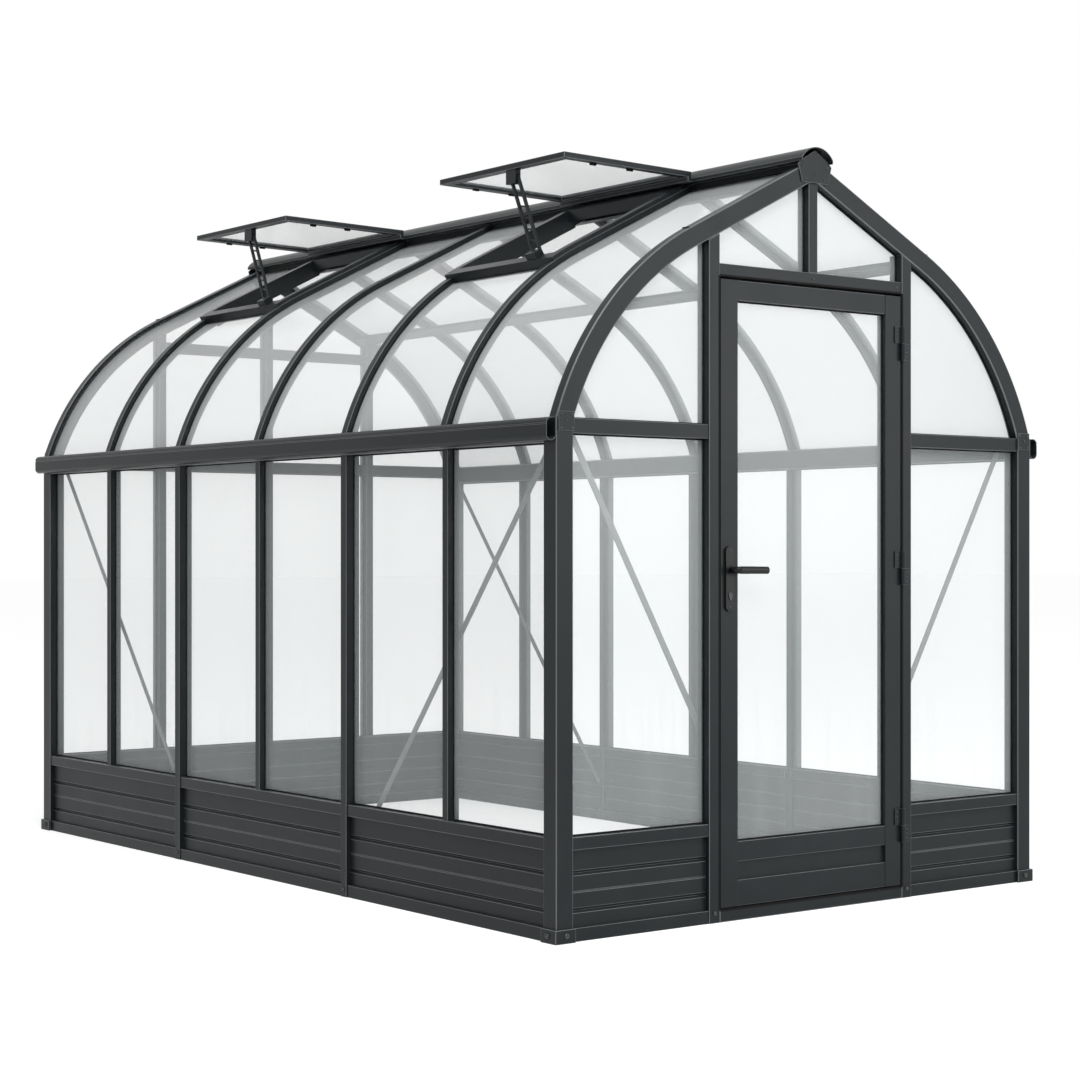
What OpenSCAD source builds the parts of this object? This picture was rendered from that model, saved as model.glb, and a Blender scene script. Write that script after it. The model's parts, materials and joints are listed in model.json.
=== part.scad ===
// Clear-sheet greenhouse on an aluminium frame, with a curved-eave roof, two open roof vents,
// a planked kick wall and one hinged door in the front gable.
// +Z is up, the front gable faces -Y, and the origin is on the ground at the middle of the plan.

/* [House] */
// Width over the side walls
house_w = 2150; // [2100:10:2250]
// Length over the gable walls, six bays
house_l = 3660; // [3300:60:4200]
// Height of the eave, where the roof curve starts
eave_z = 1600; // [1580:10:1660]
// Height of the roof's outer line at the ridge
ridge_z = 2500; // [2480:10:2540]
// Slope of the straight upper roof, in degrees
roof_slope = 27; // [26:1:28]
// Steepness of the roof curve at the eave, in degrees
eave_angle = 72; // [70:1:74]

/* [Walls] */
// Depth of the wall frames
wall_t = 60; // [56:1:64]
// Width of a corner post
corner_w = 65; // [62:1:70]
// Width of a side post that runs to the ground
post_w = 36; // [32:1:40]
// Width of a glazing bar
bar_w = 30; // [26:1:34]
// Width of a gable post beside the door
door_post_w = 45; // [40:1:50]
// Height of the base rails
base_h = 42; // [38:1:46]
// Height of the sill rail's top
sill_z = 320; // [310:5:340]
// Height of the sill and head rails' own face
rail_h = 40; // [36:1:44]
// Thickness of a clear sheet
sheet_t = 4; // [3:1:6]

/* [Roof] */
// Radial depth of the gable arches
arch_d = 65; // [60:1:70]
// Radial depth of a roof rib
rib_d = 50; // [46:1:54]
// Width of a rib's outer cap
rib_w = 32; // [28:1:36]
// Width of the ridge cap
cap_w = 141; // [138:1:146]
// Opening angle of a vent sash above the level, in degrees
sash_tilt = 1; // [1:1:3]
// Length of a vent sash from hinge to free edge
sash_l = 560; // [550:5:570]

/* [Door] */
// Width of the door leaf
leaf_w = 820; // [800:2:830]
// Height of the door leaf's top edge
leaf_top = 2070; // [2050:5:2072]
// Width of a door stile
stile_w = 72; // [66:1:78]
// Thickness of the door leaf
leaf_t = 40; // [36:1:42]
// Height of the lever's spindle
lever_z = 1133; // [1100:1:1150]
// Length of the lever's grip
lever_l = 130; // [115:1:140]

/* [Hidden] */

frame_col = [0.25, 0.27, 0.28];
rail_col = [0.22, 0.24, 0.25];
sheet_col = [0.84, 0.90, 0.90, 0.35];
black_col = [0.08, 0.08, 0.08];

half_w = house_w / 2;
half_l = house_l / 2;
bay = house_l / 6;
sill_z0 = sill_z - rail_h;

// Depths inward from the wall's outer plane
face_d = 4;          // rails lie this far behind the posts
plank_d = 18;        // outer face of the kick panels
plank_t = 22;
bar_face_d = 8;
side_sheet_d = 32;   // outer face of the side sheets
gable_sheet_d = 30;
web_w = 12;
post_web_w = 16;

// V-grooves of the planks: a deep one at each plank joint and a faint one halfway up a plank
groove_z = base_h + 51;
groove_step = 57.5;
deep_groove = 8;
faint_groove = 2.5;

// Eave
eave_rail_h = 46;
eave_beam_h = 74;
gutter_w = 38;
gutter_h = 72;
gutter_t = 3;
gutter_lip_h = 18;
gutter_groove = [1.5, 4];

// Roof curve: an arc that leaves the eave at eave_angle and runs into the straight slope
rise = ridge_z - eave_z;
arc_r = (rise - half_w * tan(roof_slope))
    / ((cos(roof_slope) - cos(eave_angle))
        - (sin(eave_angle) - sin(roof_slope)) * tan(roof_slope));
arc_c = [half_w - arc_r * sin(eave_angle), eave_z - arc_r * cos(eave_angle)];
fine = 360;
overlap = 0.5;       // angle by which the straight part's tip reaches into the arc
arch_t = 40;
ridge_gap = 0.4;     // hairline joint between the two halves of an arch
sheet_d = 20;        // depth of the roof sheets under the ribs' outer face
rib_web_w = 14;

// Ridge
beam_half = 20;
beam_z = [ridge_z - 72, ridge_z - 10];
flange_t = 6;
lip_t = 8;
cap_t = 3;
cap_z = [ridge_z - 14, ridge_z + 36];
cap_side_h = 12;
cap_over = 18;
end_plate_t = 5;
purlin_at = [466, 510];
purlin_t = 16;

// Vents, in the second and fifth bays of the left roof
vent_y = 1.5 * bay;
vent_angle = 31.6;   // slope of the roof curve under the lower curb rail
curb_half = 22;      // half width of the lower curb rail, down the slope
curb_up = 14;        // height of the curb over the ribs
curb_deep = 54;      // depth of the liners under the roof's outer line
curb_low = 24;
liner_t = 6;
curb_top = [76, 112];
sash_x = cap_w / 2;
sash_z = ridge_z + 2;
sash_t = 20;
sash_w = 740;
sash_rail_w = 34;
hinge_strip = [16, 17];
stay_x = [sash_x + sash_l - 20, 10];
stay_y = [-200, -60];
stay_half = 21;
stay_bar_w = 9;
stay_foot_z = 2205;

// Doorway
leaf_half = leaf_w / 2;
door_half = leaf_half + 6;
head_z0 = 2080;
threshold_h = 40;
leaf_z0 = threshold_h + 6;
leaf_y = -half_l + 2;
door_top_rail_h = 65;
door_low_rail = [190, 255];
door_base_top = 130;
door_sheet_d = 18;
stop_d = 48;
stop_w = 12;

// Hinges: lift-off knuckles on pins, proud of the door's face
hinge_axis = [leaf_half + 3, -half_l - 8];
hinge_zs = [252, 1136, 1908];
hinge_half_h = 58;
knuckle_r = 8;
pin_r = 4;
pin_play = 0.05;
flag_w = 33;
flag_t = 3;

// Lever and its plates
lever_x = -leaf_half + 33;
spindle_r = 7;
plate_w = 36;
plate_z = [1000, 1210];
plate_t = 8;
neck_r = 10;
neck_gap = 2;
lever_out = 46;
grip_r = 11;

// ---- Helpers ----

// A box between two opposite corners
module block(low, high) {
    translate(low) cube(high - low);
}

// Extrudes an (x, z) outline from y0 to y1
module along_y(y0, y1) {
    translate([0, y1, 0]) rotate([90, 0, 0]) linear_extrude(y1 - y0) children();
}

// Extrudes a (y, z) outline from x0 to x1
module along_x(x0, x1) {
    translate([x0, 0, 0]) rotate([90, 0, 90]) linear_extrude(x1 - x0) children();
}

module both_sides() {
    children();
    mirror([1, 0, 0]) children();
}

module both_ends() {
    children();
    mirror([0, 1, 0]) children();
}

// A straight flat bar between two points of an outline
module bar_2d(from, to, width) {
    run = to - from;
    translate(from) rotate(atan2(run[1], run[0]))
        translate([0, -width / 2]) square([norm(run), width]);
}

// A point at depth d under the roof curve, turn degrees past the end of the straight slope
function joint(d, turn = 0) = arc_c
    + (arc_r - d) * [sin(roof_slope + turn), cos(roof_slope + turn)];

// Height of the straight slope's line at depth d, over the middle of the house
function peak(d) = ridge_z - d / cos(roof_slope);

// Where the radius through that joint crosses height z
function joint_x(z) = arc_c[0] + (z - arc_c[1]) * tan(roof_slope);

// The plane outward of that radius and above z
module arc_side(z) {
    polygon([[joint_x(z), z], joint(-rise), [house_w, joint(-rise)[1]], [house_w, z]]);
}

// Right half of the gable above the eave, under the roof line moved in by d
module under_roof(d) {
    polygon([[0, eave_z], [0, peak(d)], joint(d), joint(arc_r / 2, overlap),
        [joint_x(eave_z), eave_z]]);
    intersection() {
        translate(arc_c) circle(arc_r - d, $fn = fine);
        arc_side(eave_z);
    }
}

// The roof's layer between depths d0 and d1, from x0 out to x1
module roof_band(d0, d1, x0, x1 = house_w) {
    intersection() {
        union() {
            polygon([[0, peak(d0)], joint(d0), joint((d0 + d1) / 2, overlap), joint(d1),
                [0, peak(d1)]]);
            intersection() {
                translate(arc_c) difference() {
                    circle(arc_r - d0, $fn = fine);
                    circle(arc_r - d1, $fn = fine);
                }
                arc_side(eave_z);
            }
        }
        translate([x0, eave_z - 1]) square([x1 - x0, 2 * rise]);
    }
}

// Moves an outline to the roof line over the vents' lower rail: +x down the slope, +y outward
module at_curb() {
    translate(arc_c) rotate(-vent_angle) translate([0, arc_r]) children();
}

// ---- Side walls and base ----

// Stretches of the side wall between its posts
panels = [[-half_l + corner_w, -bay - post_w / 2],
    [-bay + post_w / 2, bay - post_w / 2],
    [bay + post_w / 2, half_l - corner_w]];

module side_rail(depth, z0, z1) {
    for (p = panels)
        block([half_w - wall_t, p[0], z0], [half_w - depth, p[1], z1]);
}

module gable_rail(x0, x1, depth, z0, z1) {
    block([x0, -half_l + depth, z0], [x1, -half_l + wall_t - face_d, z1]);
}

module base_rails() color(rail_col) {
    both_sides() {
        side_rail(face_d, 0, base_h);
        gable_rail(door_half + door_post_w, half_w - corner_w, face_d, 0, base_h);
    }
    mirror([0, 1, 0]) gable_rail(corner_w - half_w, half_w - corner_w, face_d, 0, base_h);
}

module door_threshold() color(rail_col) {
    block([-door_half, -half_l, 0], [door_half, -half_l + wall_t, threshold_h]);
}

// Sleeves that wrap the outer corner of each post
module corner_feet() color(rail_col) {
    foot_t = 8;
    foot_h = 44;
    foot_w = 70;
    both_sides() both_ends() difference() {
        block([half_w - foot_w, -half_l - foot_t, 0],
            [half_w + foot_t, -half_l + foot_w, foot_h]);
        block([half_w - foot_w - 1, -half_l, -1], [half_w, -half_l + foot_w + 1, foot_h + 1]);
    }
}

module corner_posts() color(frame_col) {
    both_sides() both_ends()
        block([half_w - corner_w, -half_l, 0], [half_w, -half_l + corner_w, eave_z]);
}

// Cap towards the outside and a web behind it, as an outline in plan with +x outward
module t_section(cap_width, cap_depth, web) {
    translate([-side_sheet_d, -cap_width / 2]) square([side_sheet_d - cap_depth, cap_width]);
    translate([-wall_t, -web / 2]) square([wall_t - side_sheet_d + 1, web]);
}

module side_posts() color(frame_col) {
    both_sides() both_ends() translate([half_w, bay, 0]) {
        linear_extrude(eave_z - eave_beam_h) t_section(post_w, 0, post_web_w);
        translate([-wall_t, -post_w / 2, 0]) cube([wall_t - 1, post_w, sill_z]);
    }
}

module glazing_bars() color(frame_col) {
    both_sides() for (k = [-2, 0, 2])
        translate([half_w, k * bay, sill_z])
            linear_extrude(eave_z - eave_beam_h - sill_z)
                t_section(bar_w, bar_face_d, web_w);
}

module sill_rails() color(rail_col) {
    both_sides() {
        side_rail(face_d, sill_z0, sill_z);
        gable_rail(door_half + door_post_w, half_w - corner_w, face_d, sill_z0, sill_z);
    }
    mirror([0, 1, 0])
        gable_rail(corner_w - half_w, half_w - corner_w, face_d, sill_z0, sill_z);
}

function v_groove(z, g) = [[0, z - g], [-g, z], [0, z + g]];

function inner_groove(z) = [[-plank_t, z + faint_groove], [faint_groove - plank_t, z],
    [-plank_t, z - faint_groove]];

// Planks as an outline across their length, with the outer face at x = 0
module plank_outline() {
    polygon(concat(
        [[-plank_t, sill_z0]],
        inner_groove(groove_z + 2 * groove_step),
        inner_groove(groove_z + groove_step),
        inner_groove(groove_z),
        [[-plank_t, base_h], [0, base_h]],
        v_groove(groove_z, deep_groove),
        v_groove(groove_z + groove_step, faint_groove),
        v_groove(groove_z + 2 * groove_step, deep_groove),
        [[0, sill_z0]]));
}

module gable_planks(x0, x1) {
    along_x(x0, x1) translate([-half_l + plank_d, 0]) mirror([1, 0]) plank_outline();
}

module kick_panels() color(frame_col) {
    both_sides() {
        for (p = panels)
            along_y(p[0], p[1]) translate([half_w - plank_d, 0]) plank_outline();
        gable_planks(door_half + door_post_w, half_w - corner_w);
    }
    mirror([0, 1, 0]) gable_planks(corner_w - half_w, half_w - corner_w);
}

module eave_beams() color(frame_col) {
    both_sides()
        block([half_w - wall_t, -half_l + corner_w, eave_z - eave_beam_h],
            [half_w, half_l - corner_w, eave_z]);
}

// Half-round channel with its wall side at x = 0 and its rim at y = 0, moved in by t. The
// outer wall curls over at the top
module channel_2d(t) {
    r = gutter_w / 2;
    translate([t, r - gutter_h]) square([gutter_w - 2 * t, gutter_h - gutter_w]);
    translate([t, -r - 1]) square([r - t, r + 1 + t]);
    translate([r, r - gutter_h]) circle(r - t, $fn = 64);
    translate([r, -r]) circle(r - t, $fn = 64);
}

module gutters() color(frame_col) {
    both_sides() along_y(-half_l, half_l) translate([half_w, eave_z + 1]) difference() {
        intersection() {
            channel_2d(0);
            translate([0, -gutter_h]) square([gutter_w, gutter_h]);
        }
        channel_2d(gutter_t);
        translate([gutter_w - gutter_groove[0], -gutter_lip_h - gutter_groove[1]])
            square([2, gutter_groove[1]]);
    }
}

// ---- Gables ----

back_posts = [-540, 0, 540];
back_post_half = post_w / 2;

module eave_rails() color(rail_col) {
    z0 = eave_z - eave_rail_h;
    inner = half_w - corner_w;
    both_sides() {
        gable_rail(door_half + door_post_w, inner, face_d, z0, eave_z);
        mirror([0, 1, 0]) {
            gable_rail(back_post_half, back_posts[2] - back_post_half, face_d, z0, eave_z);
            gable_rail(back_posts[2] + back_post_half, inner, face_d, z0, eave_z);
        }
    }
}

// Uprights cut off under the arch; x0 to x1 on the right half
module gable_upright(x0, x1, z0) {
    along_y(-half_l, -half_l + wall_t) {
        translate([x0, z0]) square([x1 - x0, eave_z - z0 + 1]);
        intersection() {
            under_roof(arch_d);
            translate([x0, eave_z]) square([x1 - x0, rise]);
        }
    }
}

module door_posts() color(frame_col) {
    both_sides() {
        gable_upright(door_half, door_half + door_post_w, 0);
        block([door_half - stop_w, -half_l + stop_d, threshold_h],
            [door_half + 1, -half_l + wall_t, head_z0]);
    }
}

module back_gable_posts() color(frame_col) {
    mirror([0, 1, 0]) {
        both_sides() gable_upright(back_posts[2] - back_post_half,
            back_posts[2] + back_post_half, sill_z);
        both_sides() gable_upright(0, back_post_half, sill_z);
    }
}

module head_rails() color(rail_col) {
    block([-door_half, -half_l + face_d, head_z0],
        [door_half, -half_l + wall_t, head_z0 + rail_h]);
    block([stop_w - door_half, -half_l + stop_d, head_z0 - 18],
        [door_half - stop_w, -half_l + wall_t, head_z0 + 1]);
    both_sides() mirror([0, 1, 0])
        gable_rail(back_post_half, back_posts[2] - back_post_half, face_d,
            head_z0, head_z0 + rail_h);
}

module gable_mullion() color(frame_col) {
    both_sides() along_y(-half_l + face_d, -half_l + wall_t) intersection() {
        under_roof(arch_d);
        translate([0, head_z0 + rail_h]) square([20, rise]);
    }
}

// Screw plates over the eave joints of both gables
module eave_corner_plates() color(rail_col) {
    both_sides() both_ends()
        block([half_w - 67, -half_l - face_d, eave_z - 40],
            [half_w - 7, -half_l, eave_z + 20]);
}

// Half an arch, flush with the front gable
module half_arch() {
    color(frame_col) {
        along_y(-half_l, -half_l + arch_t) roof_band(0, sheet_d, ridge_gap / 2);
        along_y(-half_l, -half_l + arch_t - 4) roof_band(sheet_d / 2, arch_d, ridge_gap / 2);
    }
}

module front_arch_right() half_arch();
module front_arch_left() mirror([1, 0, 0]) half_arch();
module back_arch_right() mirror([0, 1, 0]) half_arch();
module back_arch_left() mirror([1, 0, 0]) mirror([0, 1, 0]) half_arch();

// ---- Roof ----

module roof_ribs_right() color(frame_col) {
    for (k = [-2 : 2]) {
        y = k * bay;
        along_y(y - rib_w / 2, y + rib_w / 2) roof_band(0, sheet_d, beam_half);
        along_y(y - rib_web_w / 2, y + rib_web_w / 2)
            roof_band(sheet_d / 2, rib_d, beam_half);
    }
}

module roof_ribs_left() mirror([1, 0, 0]) roof_ribs_right();

// Web under a flange whose turned-down lips carry the ridge cap
module ridge_beam() color(rail_col) {
    half = cap_w / 2 - cap_t;
    along_y(-half_l + arch_t, half_l - arch_t) {
        translate([-beam_half, beam_z[0]]) square([2 * beam_half, beam_z[1] - beam_z[0] + 1]);
        translate([-half, beam_z[1]]) square([2 * half, flange_t]);
        for (x = [-half, half - lip_t])
            translate([x, cap_z[0]]) square([lip_t, beam_z[1] - cap_z[0] + 1]);
    }
}

// Outline of the ridge cap, moved in by t
module cap_outline(t) {
    half = cap_w / 2;
    sag = cap_z[1] - cap_z[0] - cap_side_h;
    r = (half * half + sag * sag) / (2 * sag);
    intersection() {
        translate([0, cap_z[1] - r]) circle(r - t, $fn = fine);
        translate([t - half, cap_z[0] - t]) square([cap_w - 2 * t, cap_w]);
    }
}

module ridge_cap() color(frame_col) {
    along_y(-half_l - cap_over, half_l + cap_over) difference() {
        cap_outline(0);
        cap_outline(cap_t);
    }
}

module ridge_end_plates() color(frame_col) {
    both_ends() along_y(-half_l - end_plate_t, -half_l)
        polygon([[0, ridge_z + 27], [62, ridge_z - 10], [76, ridge_z - 24],
            [58, ridge_z - 82], [-58, ridge_z - 82], [-76, ridge_z - 24], [-62, ridge_z - 10]]);
}

module roof_purlin() color(frame_col) {
    along_y(-half_l + arch_t, half_l - arch_t)
        roof_band(rib_d, rib_d + purlin_t, purlin_at[0], purlin_at[1]);
}

// Diagonal flat bars on the inner faces of the wall frames
module side_brace() {
    along_x(half_w - wall_t - 4, half_w - wall_t)
        bar_2d([half_l - 86, eave_z - 50], [bay + 4, 165], 22);
}

module wind_braces() color(frame_col) {
    both_ends() mirror([1, 0, 0]) side_brace();
    side_brace();
    both_sides() along_y(-half_l + wall_t, -half_l + wall_t + 4)
        bar_2d([half_w - 95, eave_z - 30], [door_half + 26, 612], 22);
}

// ---- Vents of the left roof, drawn on the right and mirrored ----

module left_vents() {
    mirror([1, 0, 0]) for (y = [-vent_y, vent_y]) translate([0, y, 0]) children();
}

// Raised frame around each opening, on the caps of the ribs, with liners down their sides
module vent_curbs() color(frame_col) {
    inner = bay / 2 - rib_w / 2;
    outer = bay / 2 + rib_w / 2;
    web = bay / 2 - rib_web_w / 2;
    left_vents() {
        along_y(-inner, inner) at_curb()
            translate([-curb_half, -curb_low]) square([2 * curb_half, curb_up + curb_low]);
        along_y(-outer, outer) at_curb()
            translate([-curb_half, 0]) square([2 * curb_half, curb_up]);
        both_ends() {
            along_y(inner - liner_t, outer) curb_side(-curb_up, 0);
            along_y(inner - liner_t, inner) curb_side(-curb_up, curb_deep);
        }
        along_y(-outer, outer) roof_band(-curb_up, 0, curb_top[0], curb_top[1]);
        along_y(-inner, inner) roof_band(-curb_up, curb_low, curb_top[0], curb_top[1]);
        along_y(-web, web) roof_band(sheet_d, curb_low, beam_half, curb_top[1] - 4);
    }
}

// Stretch of the roof's layer from the curb's upper rail down into its lower rail
module curb_side(d0, d1) {
    difference() {
        roof_band(d0, d1, curb_top[0] + 4);
        at_curb() translate([4 - curb_half, -house_w]) square(2 * house_w);
    }
}

// Slice of a sash between lengths u0 and u1 and heights t0 and t1, cut upright at its hinge
module sash_slice(u0, u1, t0, t1) {
    intersection() {
        translate([sash_x, sash_z]) rotate(sash_tilt) translate([u0, t0])
            square([u1 - u0, t1 - t0]);
        translate([sash_x, sash_z - rise]) square([house_w, 2 * rise]);
    }
}

module vent_sashes() color(frame_col) {
    left_vents() {
        along_y(-sash_w / 2, sash_w / 2) {
            sash_slice(-10, sash_rail_w, 0, sash_t);
            sash_slice(sash_l - sash_rail_w, sash_l, 0, sash_t);
            translate([sash_x, sash_z - hinge_strip[0]]) square(hinge_strip + [0, 1]);
        }
        both_ends() along_y(sash_w / 2 - sash_rail_w, sash_w / 2)
            sash_slice(-10, sash_l, 0, sash_t);
    }
}

module vent_panes() color(sheet_col) {
    reach = sash_w / 2 - sash_rail_w;
    left_vents() along_y(-reach, reach)
        sash_slice(sash_rail_w, sash_l - sash_rail_w, sash_t / 2, sash_t / 2 + sheet_t);
}

// Ladder-like stay from the curb's lower rail up to the sash's free rail
module vent_stays() color(frame_col) {
    foot = [stay_y[0], stay_foot_z];
    head = [stay_y[1], sash_z];
    span = head - foot;
    rail = [stay_half, 0];
    left_vents() {
        along_x(stay_x[0], stay_x[0] + stay_x[1]) {
            bar_2d(foot - rail, head - rail, stay_bar_w);
            bar_2d(foot + rail, head + rail, stay_bar_w);
        }
        along_x(stay_x[0] + 2, stay_x[0] + stay_x[1] - 2)
            for (s = [0.15 : 0.14 : 0.85])
                bar_2d(foot - rail + s * span, foot + rail + (s + 0.03) * span, 6);
        along_y(foot[0] - 28, foot[0] + 28) at_curb()
            translate([-curb_half + 2, curb_up]) square([36, 22]);
        along_y(head[0] - 28, head[0] + 28) intersection() {
            translate([stay_x[0] - 6, sash_z - 40]) square([22, 100]);
            translate([sash_x, sash_z]) rotate(sash_tilt) translate([0, -200])
                square([house_w, 200]);
        }
    }
}

// ---- Clear sheets ----

// Edges of the six side sheets: between a corner post, the bars' webs and the posts' webs
sheet_edges = [-half_l + corner_w, -2 * bay, -bay, 0, bay, 2 * bay, half_l - corner_w];
sheet_back = [0, web_w, post_web_w, web_w, post_web_w, web_w, 0] / 2;

module wall_panes_right() color(sheet_col) {
    for (k = [0 : 5])
        block([half_w - side_sheet_d - sheet_t, sheet_edges[k] + sheet_back[k], sill_z],
            [half_w - side_sheet_d, sheet_edges[k + 1] - sheet_back[k + 1],
                eave_z - eave_beam_h]);
}

module wall_panes_left() mirror([1, 0, 0]) wall_panes_right();

// Sheets of one half gable: outline x0 to x1 above z0, under the arch or up to z1
module gable_sheet(x0, x1, z0, z1 = 0) {
    along_y(-half_l + gable_sheet_d, -half_l + gable_sheet_d + sheet_t) {
        if (z1 > 0)
            translate([x0, z0]) square([x1 - x0, z1 - z0]);
        else
            intersection() {
                under_roof(arch_d);
                translate([x0, z0]) square([x1 - x0, rise]);
            }
    }
}

module gable_panes_front() color(sheet_col) {
    both_sides() {
        gable_sheet(door_half + door_post_w, half_w - corner_w, sill_z, eave_z - eave_rail_h);
        gable_sheet(door_half + door_post_w, half_w, eave_z);
        gable_sheet(20, door_half, head_z0 + rail_h);
    }
}

module gable_panes_back() color(sheet_col) {
    mid = back_posts[2];
    both_sides() mirror([0, 1, 0]) {
        gable_sheet(back_post_half, mid - back_post_half, sill_z, eave_z - eave_rail_h);
        gable_sheet(mid + back_post_half, half_w - corner_w, sill_z, eave_z - eave_rail_h);
        gable_sheet(back_post_half, mid - back_post_half, eave_z, head_z0);
        gable_sheet(back_post_half, mid - back_post_half, head_z0 + rail_h);
        gable_sheet(mid + back_post_half, half_w, eave_z);
    }
}

// Edges of the six roof sheets: between the arches and the ribs' webs
roof_edges = [-half_l + arch_t, -2 * bay, -bay, 0, bay, 2 * bay, half_l - arch_t];
roof_back = [0, 1, 1, 1, 1, 1, 0] * rib_web_w / 2;

module roof_sheet(k) {
    along_y(roof_edges[k] + roof_back[k], roof_edges[k + 1] - roof_back[k + 1]) children();
}

module roof_panes_right() color(sheet_col) {
    for (k = [0 : 5]) roof_sheet(k) roof_band(sheet_d, sheet_d + sheet_t, beam_half);
}

module roof_panes_left() color(sheet_col) {
    mirror([1, 0, 0]) {
        for (k = [0, 2, 3, 5]) roof_sheet(k) roof_band(sheet_d, sheet_d + sheet_t, beam_half);
        for (k = [1, 4]) roof_sheet(k) difference() {
            roof_band(sheet_d, sheet_d + sheet_t, beam_half);
            at_curb() translate([curb_half - house_w, -house_w]) square([house_w, 2 * house_w]);
        }
    }
}

// ---- Door ----

// Fixed half of each hinge, with the pin that the moving half turns on
module hinge_pintles() color(frame_col) {
    for (z = hinge_zs) {
        translate([hinge_axis[0], hinge_axis[1], z - hinge_half_h])
            cylinder(h = hinge_half_h - 1, r = knuckle_r, $fn = 48);
        translate([hinge_axis[0], hinge_axis[1], z - 2])
            cylinder(h = hinge_half_h - 6, r = pin_r, $fn = 48);
        block([hinge_axis[0], -half_l - flag_t, z - hinge_half_h],
            [hinge_axis[0] + flag_w, -half_l, z - 1]);
    }
}

module door_hinges() color(frame_col) {
    for (z = hinge_zs) difference() {
        union() {
            translate([hinge_axis[0], hinge_axis[1], z + 1])
                cylinder(h = hinge_half_h - 1, r = knuckle_r, $fn = 48);
            block([hinge_axis[0] - flag_w, leaf_y - flag_t - 2, z + 1],
                [hinge_axis[0], leaf_y, z + hinge_half_h]);
        }
        translate([hinge_axis[0], hinge_axis[1], z])
            cylinder(h = hinge_half_h + 2, r = pin_r + pin_play, $fn = 48);
    }
}

module door_block(x0, x1, z0, z1, inset = 0) {
    block([x0, leaf_y + inset, z0], [x1, leaf_y + leaf_t - inset, z1]);
}

module door_stiles() color(frame_col) {
    difference() {
        both_sides() door_block(leaf_half - stile_w, leaf_half, leaf_z0, leaf_top);
        translate([lever_x, leaf_y - 1, lever_z]) rotate([-90, 0, 0])
            cylinder(h = leaf_t + 2, r = spindle_r + 2, $fn = 48);
    }
}

module door_rails() color(frame_col) {
    x = leaf_half - stile_w;
    door_block(-x, x, leaf_top - door_top_rail_h, leaf_top, 2);
    door_block(-x, x, door_low_rail[0], door_low_rail[1], 2);
    door_block(-x, x, leaf_z0, door_base_top, 2);
}

module door_kick_panel() color(rail_col) {
    x = leaf_half - stile_w;
    door_block(-x, x, door_base_top, door_low_rail[0], 12);
}

module door_pane() color(sheet_col) {
    x = leaf_half - stile_w;
    block([-x, leaf_y + door_sheet_d, door_low_rail[1]],
        [x, leaf_y + door_sheet_d + sheet_t, leaf_top - door_top_rail_h]);
}

// Round-ended plate outline, drawn upright about x = 0
module plate_outline() {
    r = plate_w / 2;
    translate([-r, plate_z[0] + r]) square([plate_w, plate_z[1] - plate_z[0] - plate_w]);
    for (z = [plate_z[0] + r, plate_z[1] - r])
        translate([0, z]) circle(r, $fn = 48);
}

module handle_plates() color(black_col) {
    for (y = [leaf_y - plate_t, leaf_y + leaf_t])
        translate([lever_x, 0, 0]) along_y(y, y + plate_t) difference() {
            plate_outline();
            translate([0, lever_z]) circle(spindle_r + pin_play, $fn = 48);
        }
}

// Lever on both faces of the door, with the spindle that joins them
module door_handle() color(black_col) {
    outer = leaf_y - plate_t;
    inner = leaf_y + leaf_t + plate_t;
    translate([lever_x, 0, lever_z]) {
        translate([0, outer - lever_out, 0]) rotate([-90, 0, 0])
            cylinder(h = inner - outer + 2 * lever_out, r = spindle_r, $fn = 48);
        translate([0, outer - lever_out + 2, 0]) rotate([-90, 0, 0])
            cylinder(h = lever_out - 2 - neck_gap, r = neck_r, $fn = 48);
        translate([0, inner + neck_gap, 0]) rotate([-90, 0, 0])
            cylinder(h = lever_out - 2 - neck_gap, r = neck_r, $fn = 48);
        for (y = [outer - lever_out + grip_r, inner + lever_out - grip_r]) {
            translate([0, y, 0]) rotate([0, 90, 0])
                cylinder(h = lever_l, r = grip_r, $fn = 48);
            translate([0, y, 0]) sphere(grip_r, $fn = 48);
            translate([lever_l, y, 0]) sphere(grip_r, $fn = 48);
        }
    }
}

base_rails();
door_threshold();
corner_feet();
corner_posts();
side_posts();
glazing_bars();
door_posts();
back_gable_posts();
head_rails();
gable_mullion();
sill_rails();
kick_panels();
eave_beams();
eave_rails();
eave_corner_plates();
gutters();
front_arch_left();
front_arch_right();
back_arch_left();
back_arch_right();
roof_ribs_left();
roof_ribs_right();
ridge_beam();
ridge_cap();
ridge_end_plates();
roof_purlin();
wind_braces();
vent_curbs();
vent_sashes();
vent_panes();
vent_stays();
wall_panes_left();
wall_panes_right();
gable_panes_front();
gable_panes_back();
roof_panes_left();
roof_panes_right();
hinge_pintles();
door_stiles();
door_rails();
door_kick_panel();
door_pane();
door_hinges();
handle_plates();
door_handle();
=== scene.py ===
# Clear-sheet greenhouse: finishes, seals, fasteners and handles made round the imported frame
import json
import math

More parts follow.
